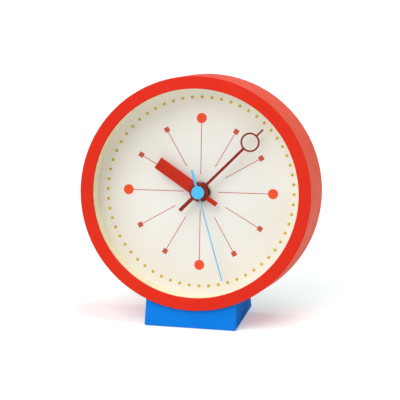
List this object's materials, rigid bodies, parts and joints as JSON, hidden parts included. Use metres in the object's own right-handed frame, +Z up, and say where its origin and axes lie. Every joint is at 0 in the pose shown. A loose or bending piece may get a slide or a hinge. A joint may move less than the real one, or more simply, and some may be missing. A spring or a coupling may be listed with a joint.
{
  "type": "alarm clock",
  "caption": "Drum-shaped table alarm clock that leans back on a wedge base, with a battery movement, hands behind a flat lens, and setting knobs and an alarm switch at the back.",
  "frame": {"origin": "middle of the rest face, which is the underside of the rubber pad", "axes": "+Z up from the rest face, -Y to the front where the dial faces, +X to the viewer's right of the dial"},
  "size_m": [0.126, 0.0601, 0.134],
  "materials": {
    "case_lacquer": "satin red lacquer",
    "base_lacquer": "satin blue lacquer",
    "clear_lens": "clear and polished",
    "cream_ring": "matte moulded cream",
    "dial_print": "matt printed",
    "hour_hand_paint": "satin red paint",
    "minute_hand_paint": "satin dark red paint",
    "second_hand_paint": "satin light blue paint",
    "alarm_hand_paint": "satin red paint",
    "black_moulding": "fine moulded texture",
    "grey_moulding": "fine moulded texture",
    "gear_nylon": "smooth moulded",
    "magnet": "sintered magnet",
    "steel": "zinc plated",
    "bush_brass": "turned",
    "winding_copper": "enamelled copper wire",
    "fibre": "pressed fibre",
    "board_laminate": "coated laminate",
    "resin": "cast resin",
    "cell_label": "smooth sleeve",
    "pad_rubber": "fine matt rubber"
  },
  "bodies": {
    "clock": {"base_block": "base_lacquer", "base_pad": "pad_rubber", "base_screws": "steel", "case_drum": "case_lacquer", "lens": "clear_lens", "dial_ring": "cream_ring", "dial": "dial_print", "rear_cover": "black_moulding", "rear_cover_screws": "steel", "movement_front_shell": "black_moulding", "movement_rear_shell": "black_moulding", "middle_plate": "grey_moulding", "centre_bush": "bush_brass", "centre_washer": "fibre", "centre_nut": "steel", "stator": "steel", "coil_core": "steel", "coil_bobbin": "gear_nylon", "coil_winding": "winding_copper", "circuit_board": "board_laminate", "control_chip": "resin", "quartz_crystal": "steel", "battery": "cell_label", "battery_positive_contact": "steel", "battery_negative_contact": "steel", "alarm_contact": "bush_brass", "sounder": "black_moulding", "sounder_leads": "resin"},
    "second": {"second_wheel": "gear_nylon", "second_hand": "second_hand_paint"},
    "intermediate": {"intermediate_wheel": "gear_nylon"},
    "rotor": {"rotor": "magnet"},
    "third": {"third_wheel": "gear_nylon"},
    "centre": {"centre_wheel": "gear_nylon", "minute_hand": "minute_hand_paint"},
    "minute_wheel": {"minute_wheel": "gear_nylon"},
    "hour": {"hour_wheel": "gear_nylon", "hour_hand": "hour_hand_paint"},
    "alarm": {"alarm_wheel": "gear_nylon", "alarm_hand": "alarm_hand_paint"},
    "time_knob": {"time_knob": "black_moulding"},
    "alarm_knob": {"alarm_knob": "black_moulding"},
    "alarm_switch": {"alarm_switch": "grey_moulding"},
    "battery_cover": {"battery_cover": "black_moulding"}
  },
  "joints": [
    {"name": "second_turn", "type": "hinge", "parent": "clock", "child": "second", "pos_m": [0, 0.004, 0.0692], "axis": [0, 0.9848, -0.1736], "continuous": true},
    {"name": "intermediate_turn", "type": "hinge", "parent": "clock", "child": "intermediate", "pos_m": [0.0036, 0.00508, 0.07534], "axis": [0, 0.9848, -0.1736], "continuous": true},
    {"name": "rotor_turn", "type": "hinge", "parent": "clock", "child": "rotor", "pos_m": [0.00477, 0.00623, 0.08186], "axis": [0, 0.9848, -0.1736], "continuous": true},
    {"name": "third_turn", "type": "hinge", "parent": "clock", "child": "third", "pos_m": [-0.00419, 0.006, 0.08052], "axis": [0, 0.9848, -0.1736], "continuous": true},
    {"name": "minute_hand_turn", "type": "hinge", "parent": "clock", "child": "centre", "pos_m": [0, 0.004, 0.0692], "axis": [0, 0.9848, -0.1736], "continuous": true},
    {"name": "minute_wheel_turn", "type": "hinge", "parent": "clock", "child": "minute_wheel", "pos_m": [0.00918, 0.00449, 0.07196], "axis": [0, 0.9848, -0.1736], "continuous": true},
    {"name": "hour_hand_turn", "type": "hinge", "parent": "clock", "child": "hour", "pos_m": [0, 0.004, 0.0692], "axis": [0, 0.9848, -0.1736], "continuous": true},
    {"name": "time_knob_turn", "type": "hinge", "parent": "clock", "child": "time_knob", "pos_m": [0.01749, 0.00365, 0.06723], "axis": [0, 0.9848, -0.1736], "continuous": true},
    {"name": "alarm_knob_turn", "type": "hinge", "parent": "clock", "child": "alarm_knob", "pos_m": [-0.01382, 0.00365, 0.06724], "axis": [0, 0.9848, -0.1736], "continuous": true},
    {"name": "alarm_hand_turn", "type": "hinge", "parent": "clock", "child": "alarm", "pos_m": [0, 0.004, 0.0692], "axis": [0, 0.9848, -0.1736], "continuous": true},
    {"name": "alarm_switch_slide", "type": "slide", "parent": "clock", "child": "alarm_switch", "axis": [1, 0, 0], "range_m": [0, 0.003]},
    {"name": "battery_cover_pull", "type": "slide", "parent": "clock", "child": "battery_cover", "axis": [0, 0.9848, -0.1736], "range_m": [0, 0.012]}
  ],
  "couplings": [
    {"joint": "intermediate_turn", "follows": "second_turn", "ratio": -5},
    {"joint": "rotor_turn", "follows": "second_turn", "ratio": 30},
    {"joint": "third_turn", "follows": "second_turn", "ratio": -0.13333},
    {"joint": "minute_hand_turn", "follows": "second_turn", "ratio": 0.016667},
    {"joint": "minute_wheel_turn", "follows": "second_turn", "ratio": -0.0055556},
    {"joint": "hour_hand_turn", "follows": "second_turn", "ratio": 0.0013889},
    {"joint": "time_knob_turn", "follows": "second_turn", "ratio": 0.016667},
    {"joint": "alarm_hand_turn", "follows": "alarm_knob_turn", "ratio": -0.75}
  ]
}
